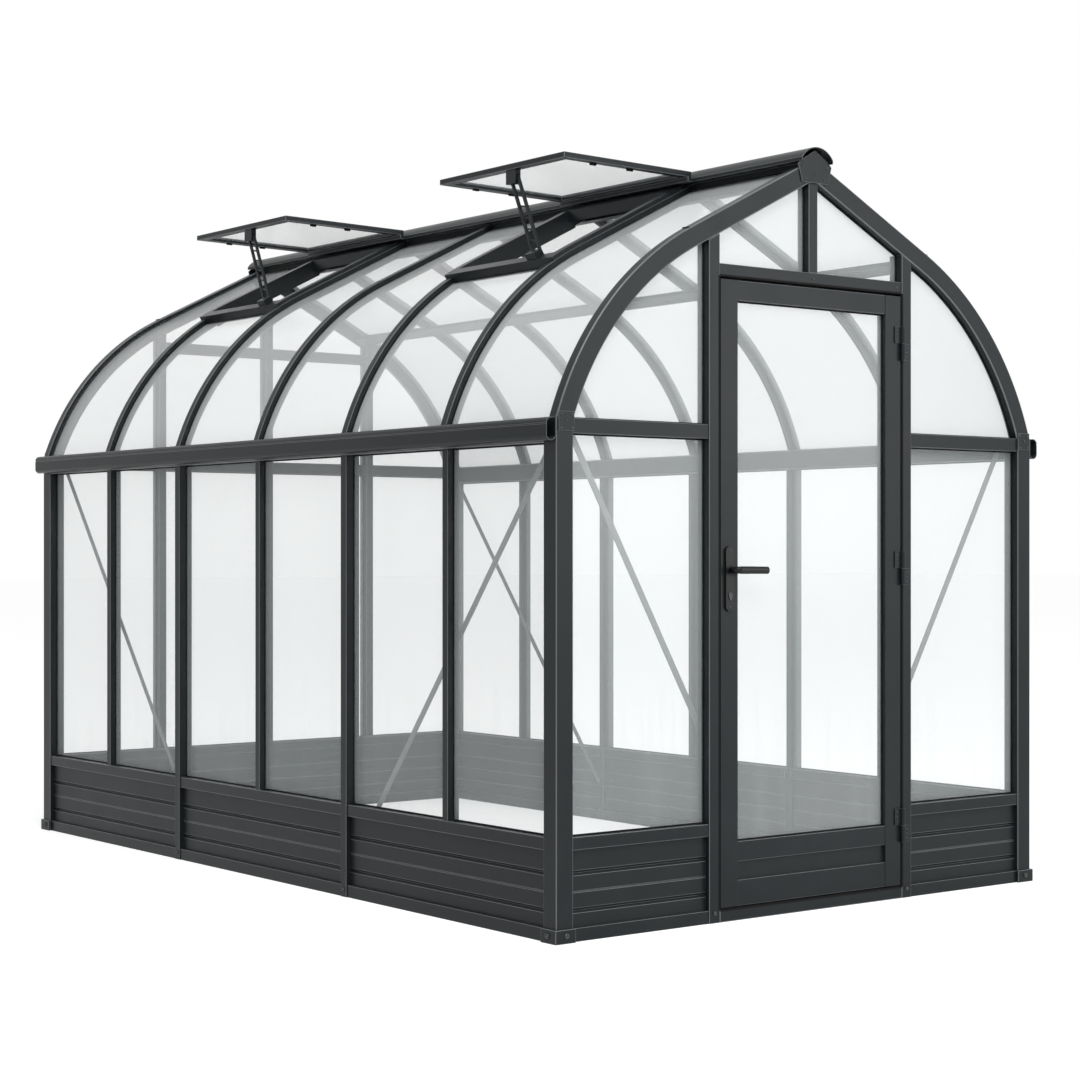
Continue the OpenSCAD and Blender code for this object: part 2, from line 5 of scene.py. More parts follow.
import bmesh
import bpy
import numpy as np
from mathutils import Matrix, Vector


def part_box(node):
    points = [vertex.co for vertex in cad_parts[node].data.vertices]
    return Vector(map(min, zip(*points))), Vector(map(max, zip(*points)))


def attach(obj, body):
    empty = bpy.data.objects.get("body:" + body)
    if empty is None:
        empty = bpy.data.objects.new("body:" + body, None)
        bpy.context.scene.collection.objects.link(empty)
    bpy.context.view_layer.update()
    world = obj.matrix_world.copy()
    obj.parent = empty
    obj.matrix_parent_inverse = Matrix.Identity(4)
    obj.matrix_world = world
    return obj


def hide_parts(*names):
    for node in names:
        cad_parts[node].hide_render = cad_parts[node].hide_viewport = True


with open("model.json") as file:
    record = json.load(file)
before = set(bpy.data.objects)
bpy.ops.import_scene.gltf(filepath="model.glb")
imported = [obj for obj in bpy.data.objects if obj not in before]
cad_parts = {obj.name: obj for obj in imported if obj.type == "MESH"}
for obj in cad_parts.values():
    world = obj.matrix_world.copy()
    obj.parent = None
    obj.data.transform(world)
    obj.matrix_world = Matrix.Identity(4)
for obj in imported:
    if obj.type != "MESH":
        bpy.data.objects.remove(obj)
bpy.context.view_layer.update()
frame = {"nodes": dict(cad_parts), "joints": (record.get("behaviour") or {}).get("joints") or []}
nodes = frame["nodes"]
print("frame loaded:", len(nodes), "nodes")

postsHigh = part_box("corner_posts")[1]
halfWidth = postsHigh.x
halfLength = postsHigh.y
mergeDistance = 1e-5


# Shader maths: a wrapped socket that the usual operators work on
class Link:
    def __init__(self, finish, socket):
        self.finish = finish
        self.socket = socket

    def maths(self, operation, first, second):
        return self.finish.add("ShaderNodeMath", {"operation": operation}, {0: first, 1: second})

    def __add__(self, other):
        return self.maths("ADD", self, other)

    def __radd__(self, other):
        return self.maths("ADD", other, self)

    def __sub__(self, other):
        return self.maths("SUBTRACT", self, other)

    def __rsub__(self, other):
        return self.maths("SUBTRACT", other, self)

    def __mul__(self, other):
        return self.maths("MULTIPLY", self, other)

    def __rmul__(self, other):
        return self.maths("MULTIPLY", other, self)


# The nodes of a material or a world, cleared and ready to fill
class Finish:
    def __init__(self, owner):
        self.owner = owner
        self.owner.use_nodes = True
        self.tree = self.owner.node_tree
        self.tree.nodes.clear()

    # One node: its type, its settings, what its sockets hold, and which output is wanted
    def add(self, kind, settings=None, sockets=None, output=0):
        node = self.tree.nodes.new(kind)
        for key, value in (settings or {}).items():
            setattr(node, key, value)
        for key, value in (sockets or {}).items():
            if isinstance(value, Link):
                self.tree.links.new(value.socket, node.inputs[key])
            else:
                node.inputs[key].default_value = value
        return Link(self, node.outputs[output])

    def blendColours(self, factor, first, second):
        return self.add(
            "ShaderNodeMix", {"data_type": "RGBA"}, {0: factor, 6: first, 7: second}, output=2
        )

    def noise(self, place, scale, detail):
        return self.add(
            "ShaderNodeTexNoise", {}, {"Vector": place, "Scale": scale, "Detail": detail}
        )

    # 0 below the first value, 1 above the second, a straight ramp between
    def ramp(self, value, low, high):
        return self.add(
            "ShaderNodeMapRange",
            {"clamp": True},
            {"Value": value, "From Min": low, "From Max": high},
        )

    # Relief of the given strength and depth in metres
    def bump(self, strength, distance, height):
        return self.add(
            "ShaderNodeBump", {}, {"Strength": strength, "Distance": distance, "Height": height}
        )

    def coat(self, sockets):
        return self.close(self.add("ShaderNodeBsdfPrincipled", {}, sockets))

    def close(self, surface, kind="ShaderNodeOutputMaterial"):
        out = self.tree.nodes.new(kind)
        self.tree.links.new(surface.socket, out.inputs["Surface"])
        return self.owner


# A colour with full opacity, as the sockets take it
def tint(colour):
    return (*colour, 1.0)


# Parts of a noise's range that are spread over 0 to 1, from slow drift to scattered patches
bands = {"drift": (0.3, 0.7), "marks": (0.45, 0.8), "runs": (0.5, 0.85), "bloom": (0.4, 0.75),
         "wear": (0.45, 0.7)}


# Powder-coated aluminium: a fine orange peel, slow drift of shade, and faint handling marks
def powderCoat(name, look):
    f = Finish(bpy.data.materials.new(name))
    place = f.add("ShaderNodeTexCoord", output="Object")
    peel = f.noise(place, look["peelScale"], 2.0)
    drift = f.ramp(f.noise(place, look["driftScale"], 3.0), *bands["drift"])
    marks = f.ramp(f.noise(place, look["markScale"], 4.0), *bands["marks"])
    shade = f.blendColours(drift, tint(look["dark"]), tint(look["light"]))
    shade = f.blendColours(marks * look["markFade"], shade, tint(look["dust"]))
    rough = look["roughness"] + (drift - 0.5) * look["roughDrift"] + marks * look["markRough"]
    return f.coat({
        "Base Color": shade,
        "Roughness": rough,
        "Normal": f.bump(look["peelDepth"], 0.0004, peel),
        "Specular IOR Level": look["gloss"],
        "Metallic": 0.0,
    })


# Clear polycarbonate: mostly see-through, with a faint haze and rain marks low down
def clearSheet(name, look):
    f = Finish(bpy.data.materials.new(name))
    place = f.add("ShaderNodeTexCoord", output="Object")
    drift = f.ramp(f.noise(place, look["driftScale"], 2.0), *bands["drift"])
    streak = f.add("ShaderNodeMapping", {}, {"Vector": place, "Scale": look["runScale"]})
    runs = f.ramp(f.noise(streak, 1.0, 3.0), *bands["runs"])
    height = f.add("ShaderNodeSeparateXYZ", {}, {"Vector": place}, output="Z")
    splash = f.ramp(height, look["splashTop"], look["splashFoot"])
    haze = look["alpha"] + (drift - 0.5) * look["alphaDrift"]
    haze = haze + runs * look["runs"] + splash * runs * look["splash"]
    shade = f.blendColours(drift, tint(look["shade"]), tint(look["shadeLight"]))
    wave = f.noise(place, look["waveScale"], 1.0)
    return f.coat({
        "Base Color": shade,
        "Roughness": look["roughness"] + runs * look["runRough"],
        "Alpha": haze,
        "Normal": f.bump(look["wave"], 0.002, wave),
        "Specular IOR Level": look["gloss"],
    })


# Black rubber or moulded plastic: matt, with a dusty bloom in patches
def blackSoft(name, look):
    f = Finish(bpy.data.materials.new(name))
    place = f.add("ShaderNodeTexCoord", output="Object")
    grain = f.noise(place, look["grainScale"], 3.0)
    bloom = f.ramp(f.noise(place, look["bloomScale"], 3.0), *bands["bloom"])
    return f.coat({
        "Base Color": f.blendColours(bloom, tint(look["dark"]), tint(look["light"])),
        "Roughness": look["roughness"] + bloom * look["bloomRough"],
        "Normal": f.bump(look["grain"], 0.0003, grain),
        "Specular IOR Level": look["gloss"],
    })


# Steel of the screws and the lock, worn in fine patches
def screwSteel(name, look):
    f = Finish(bpy.data.materials.new(name))
    place = f.add("ShaderNodeTexCoord", output="Object")
    wear = f.ramp(f.noise(place, look["wearScale"], 3.0), *bands["wear"])
    return f.coat({
        "Base Color": f.blendColours(wear, tint(look["dark"]), tint(look["light"])),
        "Metallic": look["metallic"],
        "Roughness": look["roughness"] + wear * look["wearRough"],
    })


coatLook = {
    "dark": (0.0085, 0.0115, 0.0130),
    "light": (0.0125, 0.0158, 0.0174),
    "dust": (0.036, 0.040, 0.042),
    "peelScale": 700.0,
    "peelDepth": 0.12,
    "driftScale": 1.7,
    "markScale": 9.0,
    "markFade": 0.10,
    "markRough": 0.06,
    "roughness": 0.34,
    "roughDrift": 0.05,
    "gloss": 0.16,
}
# Painted highlight: the bevelled edges of the coated members take this much lighter, glossier
# coat, so they read as lit edges
edgeHighlightLook = dict(coatLook, dark=(0.085, 0.093, 0.098), light=(0.115, 0.124, 0.130),
                roughness=0.30, gloss=0.5)
plankLook = dict(coatLook, dark=(0.0090, 0.0120, 0.0132), light=(0.0130, 0.0162, 0.0176),
                 roughness=0.40, markFade=0.14)
braceLook = dict(coatLook, dark=(0.085, 0.092, 0.096), light=(0.105, 0.112, 0.116),
                 roughness=0.36, gloss=0.5)
sheetLook = {
    "shade": (0.86, 0.925, 0.935),
    "shadeLight": (0.90, 0.95, 0.96),
    "alpha": 0.138,
    "alphaDrift": 0.012,
    "runs": 0.006,
    "runScale": (26.0, 26.0, 1.4),
    "runRough": 0.05,
    "splash": 0.03,
    "splashTop": 0.75,
    "splashFoot": 0.32,
    "driftScale": 0.9,
    "waveScale": 2.2,
    "wave": 0.015,
    "roughness": 0.16,
    "gloss": 0.5,
}
roofLook = dict(sheetLook, alpha=0.27, shade=(0.91, 0.95, 0.955), shadeLight=(0.93, 0.96, 0.965),
                roughness=0.20, splash=0.0)
rubberLook = {
    "dark": (0.004, 0.004, 0.004),
    "light": (0.008, 0.008, 0.008),
    "grainScale": 420.0,
    "grain": 0.25,
    "bloomScale": 14.0,
    "bloomRough": 0.1,
    "roughness": 0.65,
    "gloss": 0.12,
}
satinLook = dict(rubberLook, dark=(0.0045, 0.0045, 0.005), light=(0.008, 0.008, 0.009),
                 grain=0.1, roughness=0.30, gloss=0.22)
steelLook = {
    "dark": (0.035, 0.036, 0.037),
    "light": (0.110, 0.112, 0.115),
    "metallic": 0.75,
    "wearScale": 260.0,
    "wearRough": 0.12,
    "roughness": 0.34,
}

anthracite = powderCoat("anthracite_coat", coatLook)
coatEdgeHighlight = powderCoat("coat_on_edges", edgeHighlightLook)
plankCoat = powderCoat("plank_coat", plankLook)
braceCoat = powderCoat("brace_coat", braceLook)
wallSheet = clearSheet("wall_sheet", sheetLook)
roofSheet = clearSheet("roof_sheet", roofLook)
rubber = blackSoft("seal_rubber", rubberLook)
blackSatin = blackSoft("handle_black", satinLook)
screwMetal = screwSteel("screw_steel", steelLook)
print("finishes made")


# Closed piece from points and faces, with every face turned outward
def newPiece(name, verts, faces, material, body, smooth=True):
    mesh = bpy.data.meshes.new(name)
    mesh.from_pydata(np.asarray(verts, float).reshape(-1, 3).tolist(), [], faces)
    work = bmesh.new()
    work.from_mesh(mesh)
    bmesh.ops.recalc_face_normals(work, faces=work.faces)
    work.to_mesh(mesh)
    work.free()
    mesh.polygons.foreach_set("use_smooth", np.full(len(mesh.polygons), smooth))
    mesh.materials.append(material)
    mesh.update()
    piece = bpy.data.objects.new(name, mesh)
    bpy.context.scene.collection.objects.link(piece)
    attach(piece, body)
    return piece


# Rounded edges in the piece's second finish, which on the coated members is a lighter coat that
# paints a highlight along every edge, with shading that keeps its flat faces flat
def roundEdges(piece, width, segments=2, angle=30.0, clamped=True):
    bevel = piece.modifiers.new("edges", "BEVEL")
    bevel.material = 1
    bevel.width = width
    bevel.segments = segments
    bevel.limit_method = "ANGLE"
    bevel.angle_limit = math.radians(angle)
    bevel.use_clamp_overlap = clamped
    shading = piece.modifiers.new("shading", "WEIGHTED_NORMAL")
    shading.keep_sharp = False
    shading.weight = 80


# Members whose many short edges would hold a clamped bevel back to nothing
curvedMembers = ("front_arch", "back_arch", "roof_ribs")
flatAngle = math.radians(0.4)  # neighbouring faces within this angle are joined into one


# Extruded members keep the frame's shape and get the small radius that a real die leaves.
# The stays' crossing bars are too thin for it, so an edge of 0 leaves a member as it is
def coatNode(name, edge, material=None, body="house", edgeHighlightFinish=None):
    # By default the bevel faces take the lighter coat that paints a highlight along the edges
    edgeHighlightFinish = edgeHighlightFinish or coatEdgeHighlight
    source = nodes[name]
    mesh = source.data.copy()
    mesh.name = name + "_coated"
    work = bmesh.new()
    work.from_mesh(mesh)
    bmesh.ops.remove_doubles(work, verts=work.verts, dist=mergeDistance)
    bmesh.ops.dissolve_limit(
        work, angle_limit=flatAngle, verts=work.verts, edges=work.edges
    )
    for face in work.faces:
        face.smooth = edge > 0
    work.to_mesh(mesh)
    work.free()
    if "custom_normal" in mesh.attributes:
        mesh.attributes.remove(mesh.attributes["custom_normal"])
    mesh.materials.clear()
    mesh.materials.append(material or anthracite)
    mesh.materials.append(edgeHighlightFinish)
    piece = bpy.data.objects.new(name + "_coated", mesh)
    bpy.context.scene.collection.objects.link(piece)
    if edge > 0:
        roundEdges(piece, edge, clamped=not name.startswith(curvedMembers))
    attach(piece, body)
    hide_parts(name)


edgeRadius = {
    "base_rails": 0.0015, "door_threshold": 0.003, "corner_feet": 0.002,
    "corner_posts": 0.0025, "side_posts": 0.0015, "glazing_bars": 0.0015,
    "door_posts": 0.002, "back_gable_posts": 0.002, "head_rails": 0.0015,
    "gable_mullion": 0.002, "sill_rails": 0.002, "eave_beams": 0.003, "eave_rails": 0.0015,
    "eave_corner_plates": 0.0012, "gutters": 0.0008, "roof_ribs_left": 0.002,
    "roof_ribs_right": 0.002, "ridge_beam": 0.001, "ridge_cap": 0.0008,
    "ridge_end_plates": 0.0012, "roof_purlin": 0.001,
    "vent_curbs": 0.0015, "vent_sashes": 0.002, "vent_stays": 0.0,
    "front_arch_left": 0.004, "front_arch_right": 0.004,
    "back_arch_left": 0.004, "back_arch_right": 0.004,
}
for name, edge in edgeRadius.items():
    coatNode(name, edge)
coatNode("kick_panels", 0.0008, plankCoat, "house")
coatNode("wind_braces", 0.001, braceCoat, edgeHighlightFinish=braceCoat)
coatNode("hinge_pintles", 0.0008)
coatNode("door_stiles", 0.002, body="door")
coatNode("door_rails", 0.0015, body="door")
coatNode("door_kick_panel", 0.001, plankCoat, "door")
coatNode("door_hinges", 0.0008, body="door")
coatNode("handle_plates", 0.002, blackSatin, "door", blackSatin)
print("frame members finished")

# Clear sheets keep the frame's meshes
for name in nodes:
    if "pane" in name and "panel" not in name:
        sheetFinish = roofSheet if name.startswith(("roof", "vent")) else wallSheet
        nodes[name].data.materials.clear()
        nodes[name].data.materials.append(sheetFinish)


# Quads of a grid of points: rows by columns, joined round where asked
def gridFaces(rows, columns, closeRows, closeColumns, start=0):
    i = np.arange(rows if closeRows else rows - 1)[:, None]
    j = np.arange(columns if closeColumns else columns - 1)[None, :]
    i2 = (i + 1) % rows
    j2 = (j + 1) % columns
    quads = np.stack(
        [i * columns + j, i2 * columns + j, i2 * columns + j2, i * columns + j2], axis=-1
    )
    return (quads.reshape(-1, 4) + start).tolist()


# Points of a profile carried round a closed loop. At each point of the loop the profile's
# first number runs inward along the corner's bisector and its second along the normal
def carryRound(loop, normals, profile):
    before = loop - np.roll(loop, 1, axis=0)
    after = np.roll(loop, -1, axis=0) - loop
    before = before / np.linalg.norm(before, axis=1, keepdims=True)
    after = after / np.linalg.norm(after, axis=1, keepdims=True)
    inOne = np.cross(normals, before)
    inTwo = np.cross(normals, after)
    bisector = (inOne + inTwo) / (1.0 + (inOne * inTwo).sum(axis=1, keepdims=True))
    return (
        loop[:, None, :]
        + bisector[:, None, :] * profile[None, :, 0:1]
        + normals[:, None, :] * profile[None, :, 1:2]
    )


# Outlines of the sheets' faces that look along the given side: one ordered loop for each
# sheet with the surface normal at each of its points
def sheetOutlines(nodeName, facing, side):
    work = bmesh.new()
    work.from_mesh(nodes[nodeName].data)
    bmesh.ops.remove_doubles(work, verts=work.verts, dist=mergeDistance)
    found = []
    work.faces.index_update()
    seen = set()
    for face in work.faces:
        if face.index in seen:
            continue
        island, queue = [], [face]
        seen.add(face.index)
        while queue:
            one = queue.pop()
            island.append(one)
            for edge in one.edges:
                for other in edge.link_faces:
                    if other.index not in seen:
                        seen.add(other.index)
                        queue.append(other)
        centre = np.mean([f.calc_center_median()[:] for f in island], axis=0)
        chosen = set()
        for f in island:
            spot = f.calc_center_median()
            if f.normal.dot(facing(centre, spot)) * side > sealLook["facing"]:
                chosen.add(f.index)
        rim = {}
        for f in island:
            if f.index not in chosen:
                continue
            for edge in f.edges:
                if sum(o.index in chosen for o in edge.link_faces) == 1:
                    for v in edge.verts:
                        rim.setdefault(v.index, [v, []])[1].append(f.normal[:])
        points = np.array([v.co[:] for v, _ in rim.values()])
        normals = np.array([np.mean(ns, axis=0) for _, ns in rim.values()])
        found.append((points, normals / np.linalg.norm(normals, axis=1, keepdims=True)))
    work.free()
    return found


sealLook = {"width": 0.0045, "proud": 0.0022, "sink": 0.0006, "capLap": 0.009,
            "outside": 0.0008, "facing": 0.6, "endMargin": 0.08}
sealProfile = np.array([
    [-sealLook["outside"], -sealLook["sink"]],
    [-sealLook["outside"], sealLook["proud"]],
    [sealLook["width"] * 0.35, sealLook["proud"] * 1.15],
    [sealLook["width"] * 0.8, sealLook["proud"] * 0.8],
    [sealLook["width"], sealLook["proud"] * 0.2],
    [sealLook["width"], -sealLook["sink"]],
])


# Outward direction of a sheet at a spot of it: of the side walls, the gables and the roof
def outwardX(centre, spot):
    return (math.copysign(1.0, centre[0]), 0.0, 0.0)


def outwardY(centre, spot):
    return (0.0, math.copysign(1.0, centre[1]), 0.0)


def outwardRoof(centre, spot):
    focusHeight, leastAcross = 1.0, 0.05
    across = math.copysign(1.0, centre[0]) * max(abs(spot[0]), leastAcross)
    up = spot[2] - focusHeight
    reach = math.hypot(across, up)
    return (across / reach, 0.0, up / reach)


# Rubber seals round the edge of every sheet, on both of its faces. The two flat axes put an
# outline's points in order; where seals lap, the outer ones reach in past the cover strips
def sealSheets(nodeName, facing, flat, lapping, body="house"):
    verts, faces, count = [], [], 0
    for side in (1, -1):
        for points, normals in sheetOutlines(nodeName, facing, side):
            middle = (points.max(axis=0) + points.min(axis=0)) / 2
            a = points[:, flat[0]] - middle[flat[0]]
            b = points[:, flat[1]] - middle[flat[1]]
            order = np.argsort(np.arctan2(b, a))
            loop, out = points[order], normals[order]
            if lapping and side > 0:
                inner = np.abs(loop[:, 1]) < halfLength - sealLook["endMargin"]
                step = np.sign(middle[1] - loop[:, 1]) * sealLook["capLap"]
                loop[:, 1] += np.where(inner, step, 0.0)
            turn = np.cross(loop - middle, np.roll(loop, -1, axis=0) - middle)
            if (turn * out).sum() < 0:
                loop, out = loop[::-1], out[::-1]
            grid = carryRound(loop, out, sealProfile)
            verts.append(grid.reshape(-1, 3))
            faces += gridFaces(len(loop), len(sealProfile), True, True, count)
            count += grid.shape[0] * grid.shape[1]
    newPiece(nodeName + "_seals", np.concatenate(verts), faces, rubber, body, False)


for name in ("wall_panes_left", "wall_panes_right"):
    sealSheets(name, outwardX, (1, 2), True)
for name in ("gable_panes_front", "gable_panes_back"):
    sealSheets(name, outwardY, (0, 2), False)
for name in ("roof_panes_left", "roof_panes_right"):
    sealSheets(name, outwardRoof, (1, 0), True)
sealSheets("door_pane", outwardY, (0, 2), False, "door")
print("seals made")


# Heads of screws and bolts: a profile turned about each place's own axis. Every point is
# place + direction * height + (across * cos + along * sin) * radius. The profile is in
# shares of the head's radius and height, with a socket sunk in its top
def turnedHeads(name, places, directions, radius, height, material, body, slotName, sides=14):
    places = np.asarray(places, float).reshape(-1, 3)
    out = np.asarray(directions, float).reshape(-1, 3)
    out = out / np.linalg.norm(out, axis=1, keepdims=True)
    upright = np.abs(out[:, 2:3]) > 0.9
    across = np.cross(np.where(upright, [[1.0, 0.0, 0.0]], [[0.0, 0.0, 1.0]]), out)
    across = across / np.linalg.norm(across, axis=1, keepdims=True)
    along = np.cross(out, across)
    profile = np.array([
        [0.0, -0.25], [1.0, -0.25], [1.0, 0.22], [0.93, 0.52], [0.74, 0.82], [0.5, 0.97],
        [0.4, 1.0], [0.36, 0.55], [0.0, 0.50],
    ]) * [radius, height]
    ring = profile[1:-1]
    angle = np.arange(sides) * 2 * math.pi / sides
    reach = (
        across[:, None, None, :] * np.cos(angle)[None, None, :, None]
        + along[:, None, None, :] * np.sin(angle)[None, None, :, None]
    )
    rings = (
        places[:, None, None, :]
        + out[:, None, None, :] * ring[None, :, None, 1:2]
        + reach * ring[None, :, None, 0:1]
    )
    ends = places[:, None, :] + out[:, None, :] * profile[[0, -1], 1][None, :, None]
    verts = np.concatenate([rings.reshape(len(places), -1, 3), ends], axis=1)
    each = verts.shape[1]
    one = gridFaces(len(ring), sides, False, True)
    last = (len(ring) - 1) * sides
    turn = np.arange(sides)
    one += [[each - 2, int((t + 1) % sides), int(t)] for t in turn]
    one += [[each - 1, last + int(t), last + int((t + 1) % sides)] for t in turn]
    faces = [[v + each * k for v in q] for k in range(len(places)) for q in one]
    newPiece(name, verts, faces, material, body)


# Points with their mirror images in the planes square to the given axes
def mirrored(points, axes):
    points = np.asarray(points, float).reshape(-1, 3)
    for axis in axes:
        flip = np.ones(3)
        flip[axis] = -1.0
        points = np.concatenate([points, points * flip])
    return points


# Round-headed bolts of the corner feet, one on each outer face
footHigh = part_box("corner_feet")[1]
boltLook = {"radius": 0.0095, "height": 0.006, "rise": 0.024, "inset": 0.034}
footSide = mirrored([footHigh.x, halfLength - boltLook["inset"], boltLook["rise"]], (0, 1))
footEnd = mirrored([halfWidth - boltLook["inset"], footHigh.y, boltLook["rise"]], (0, 1))
turnedHeads(
    "foot_bolts",
    np.concatenate([footSide, footEnd]),
    np.concatenate([footSide * [1, 0, 0], footEnd * [0, 1, 0]]),
    boltLook["radius"], boltLook["height"], screwMetal, "house", "black",
)

# Radius and height of each kind of head
headSizes = {"post": (0.0075, 0.005), "pan": (0.0045, 0.0028), "hinge": (0.0036, 0.0018),
             "plate": (0.0042, 0.0022)}

# Bolts near the ground in the side posts and the door posts
postLook = {"sideWide": 0.036, "doorWide": 0.045, "sideRise": 0.026, "doorRise": 0.032}
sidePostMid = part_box("side_posts")[1].y - postLook["sideWide"] / 2
postBolts = mirrored([halfWidth, sidePostMid, postLook["sideRise"]], (0, 1))
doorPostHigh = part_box("door_posts")[1]
doorPostMid = doorPostHigh.x - postLook["doorWide"] / 2
doorBolts = mirrored([doorPostMid, -halfLength, postLook["doorRise"]], (0,))
turnedHeads(
    "post_bolts",
    np.concatenate([postBolts, doorBolts]),
    np.concatenate([postBolts * [1, 0, 0], doorBolts * [0, 1, 0]]),
    *headSizes["post"], screwMetal, "house", "black",
)

# Pan-head screws of the eave plates, the ridge's end plates and the front head rail. The
# offsets run from the eave plate's middle and from the end plate's top
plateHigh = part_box("eave_corner_plates")[1]
plateHalf = 0.030
plateMid = np.array([plateHigh.x - plateHalf, plateHigh.y, plateHigh.z - plateHalf])
plateOffsets = np.array([[-0.021, 0, -0.021], [0.021, 0, -0.021], [0, 0, 0.002],
                         [-0.021, 0, 0.021], [0.021, 0, 0.021]])
plateScrews = mirrored(plateMid + plateOffsets, (0, 1))
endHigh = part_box("ridge_end_plates")[1]
endOffsets = np.array([[-0.055, 0, -0.055], [0.055, 0, -0.055], [-0.043, 0, -0.096],
                       [0.043, 0, -0.096], [0, 0, -0.078]])
endScrews = mirrored(np.array([0, endHigh.y, endHigh.z]) + endOffsets, (1,))
headLow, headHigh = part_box("head_rails")
headTall = 0.040
headFoot = headHigh.z - headTall  # underside of the head rail, over its stop lip
headScrews = np.array([[x, headLow.y, headHigh.z - headTall / 2] for x in (0.0, -0.395, 0.395)])
panHeads = np.concatenate([plateScrews, endScrews, headScrews])
turnedHeads("pan_head_screws", panHeads, panHeads * [0, 1, 0], *headSizes["pan"],
            screwMetal, "house", "black")
print("house fasteners made")

# Screws of the hinge leaves: three on the post, three on the door, at each hinge
hingeLook = {"mids": (0.252, 1.136, 1.908), "rises": (-0.046, -0.030, -0.014),
             "knuckle": 0.008, "reach": 0.0225, "leaf": 0.003}
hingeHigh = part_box("door_hinges")[1]
axisX = hingeHigh.x - hingeLook["knuckle"]
leafY = -halfLength - hingeLook["leaf"]
heights = [(z, rise) for z in hingeLook["mids"] for rise in hingeLook["rises"]]
fixedScrews = np.array([[axisX + hingeLook["reach"], leafY, z + rise] for z, rise in heights])
turnedHeads("hinge_screws_post", fixedScrews, fixedScrews * [0, 1, 0], *headSizes["hinge"],
            screwMetal, "house", "black")
movingScrews = np.array([[axisX - hingeLook["reach"], leafY, z - rise] for z, rise in heights])
turnedHeads("hinge_screws_door", movingScrews, movingScrews * [0, 1, 0], *headSizes["hinge"],
            screwMetal, "door", "black")

# Fixing screws of both handle plates
handleLow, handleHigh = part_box("handle_plates")
handleX = (handleLow.x + handleHigh.x) / 2
fromEnd = 0.013
plateEnds = [handleLow.z + fromEnd, handleHigh.z - fromEnd]
outerScrews = np.array([[handleX, handleLow.y, z] for z in plateEnds])
innerScrews = np.array([[handleX, handleHigh.y, z] for z in plateEnds])
turnedHeads(
    "plate_screws",
    np.concatenate([outerScrews, innerScrews]),
    [[0, -1, 0]] * 2 + [[0, 1, 0]] * 2,
    *headSizes["plate"], screwMetal, "door", "black",
)

# Lock cylinder: a keyhole-shaped outline stands proud of the plate, with a black patch on its face
# that paints the shade inside the key's slot.
# Each step of such a boss says how far the outline grows, and its height over the plate
lockLook = {"radius": 0.0085, "tail": 0.0165, "tailHalf": 0.005, "tailRound": 0.8,
            "proud": 0.003, "height": 1.052, "slotHalves": (0.0011, 0.0042)}


def lockOutline(grow, count=40):
    angle = np.linspace(-0.5 * math.pi, 1.5 * math.pi, count, endpoint=False)
    radius = lockLook["radius"] + grow
    x = radius * np.cos(angle)
    z = radius * np.sin(angle)
    half = lockLook["tailHalf"] + grow
    low = (z < 0) & (np.abs(x) < half)
    z = np.where(low, -(lockLook["tail"] + grow) + (1 - np.sqrt(
        np.clip(1 - (x / half) ** 2, 0, 1))) * half * lockLook["tailRound"], z)
    return np.stack([x, z], axis=-1)


# Rings of an outline at the steps' growths and heights, closed by a point at each end
def steppedBoss(name, outline, steps, centre, outward, material, body):
    rings = []
    for grow, height in steps:
        shape = outline(grow)
        rings.append(np.stack([
            centre[0] + shape[:, 0] * -outward,
            np.full(len(shape), centre[1] + outward * height),
            centre[2] + shape[:, 1],
        ], axis=-1))
    sides = rings[0].shape[0]
    ends = np.array([
        [centre[0], centre[1] + outward * steps[0][1], centre[2]],
        [centre[0], centre[1] + outward * steps[-1][1], centre[2]],
    ])
    verts = np.concatenate([np.concatenate(rings), ends])
    faces = gridFaces(len(rings), sides, False, True)
    turn = range(sides)
    total = len(rings) * sides
    faces += [[total, (t + 1) % sides, t] for t in turn]
    last = (len(rings) - 1) * sides
    faces += [[total + 1, last + t, last + (t + 1) % sides] for t in turn]
    newPiece(name, verts, faces, material, body, False)


# Painted shade of the key's slot: a thin black patch standing just proud of the cylinder's face,
# where the keyway's hollow would be
def keySlotShadow(grow, count=16):
    angle = np.linspace(0, 2 * math.pi, count, endpoint=False)
    across, tall = (half + grow for half in lockLook["slotHalves"])
    return np.stack([across * np.cos(angle), tall * np.sin(angle)], axis=-1)


for label, y, outward in (("outer", handleLow.y, -1.0), ("inner", handleHigh.y, 1.0)):
    centre = (handleX, y, lockLook["height"])
    proud = lockLook["proud"]
    steppedBoss("lock_cylinder_" + label, lockOutline,
                [(0.0, -0.001), (0.0, proud - 0.0006), (-0.0006, proud)],
                centre, outward, screwMetal, "door")
    steppedBoss("key_slot_" + label, keySlotShadow,
                [(0.0, proud - 0.001), (0.0, proud + 0.0002)],
                centre, outward, rubber, "door")
print("door fasteners made")


# Strips of one section between two points, with both ends closed. Each run gives its start,
# its end, and the directions of the section's first and second numbers
def sealStrips(name, runs, section, body):
    verts, faces, count = [], [], 0
    for start, end, first, second in runs:
        across = section[:, 0:1] * np.array(first) + section[:, 1:2] * np.array(second)
        verts.append(np.concatenate([np.array(start) + across, np.array(end) + across]))
        sides = len(section)
        faces += gridFaces(2, sides, False, True, count)
        for cap in (count, count + sides):
            faces.append(list(range(cap, cap + sides)))
        count += 2 * sides
    newPiece(name, np.concatenate(verts), faces, rubber, body, False)
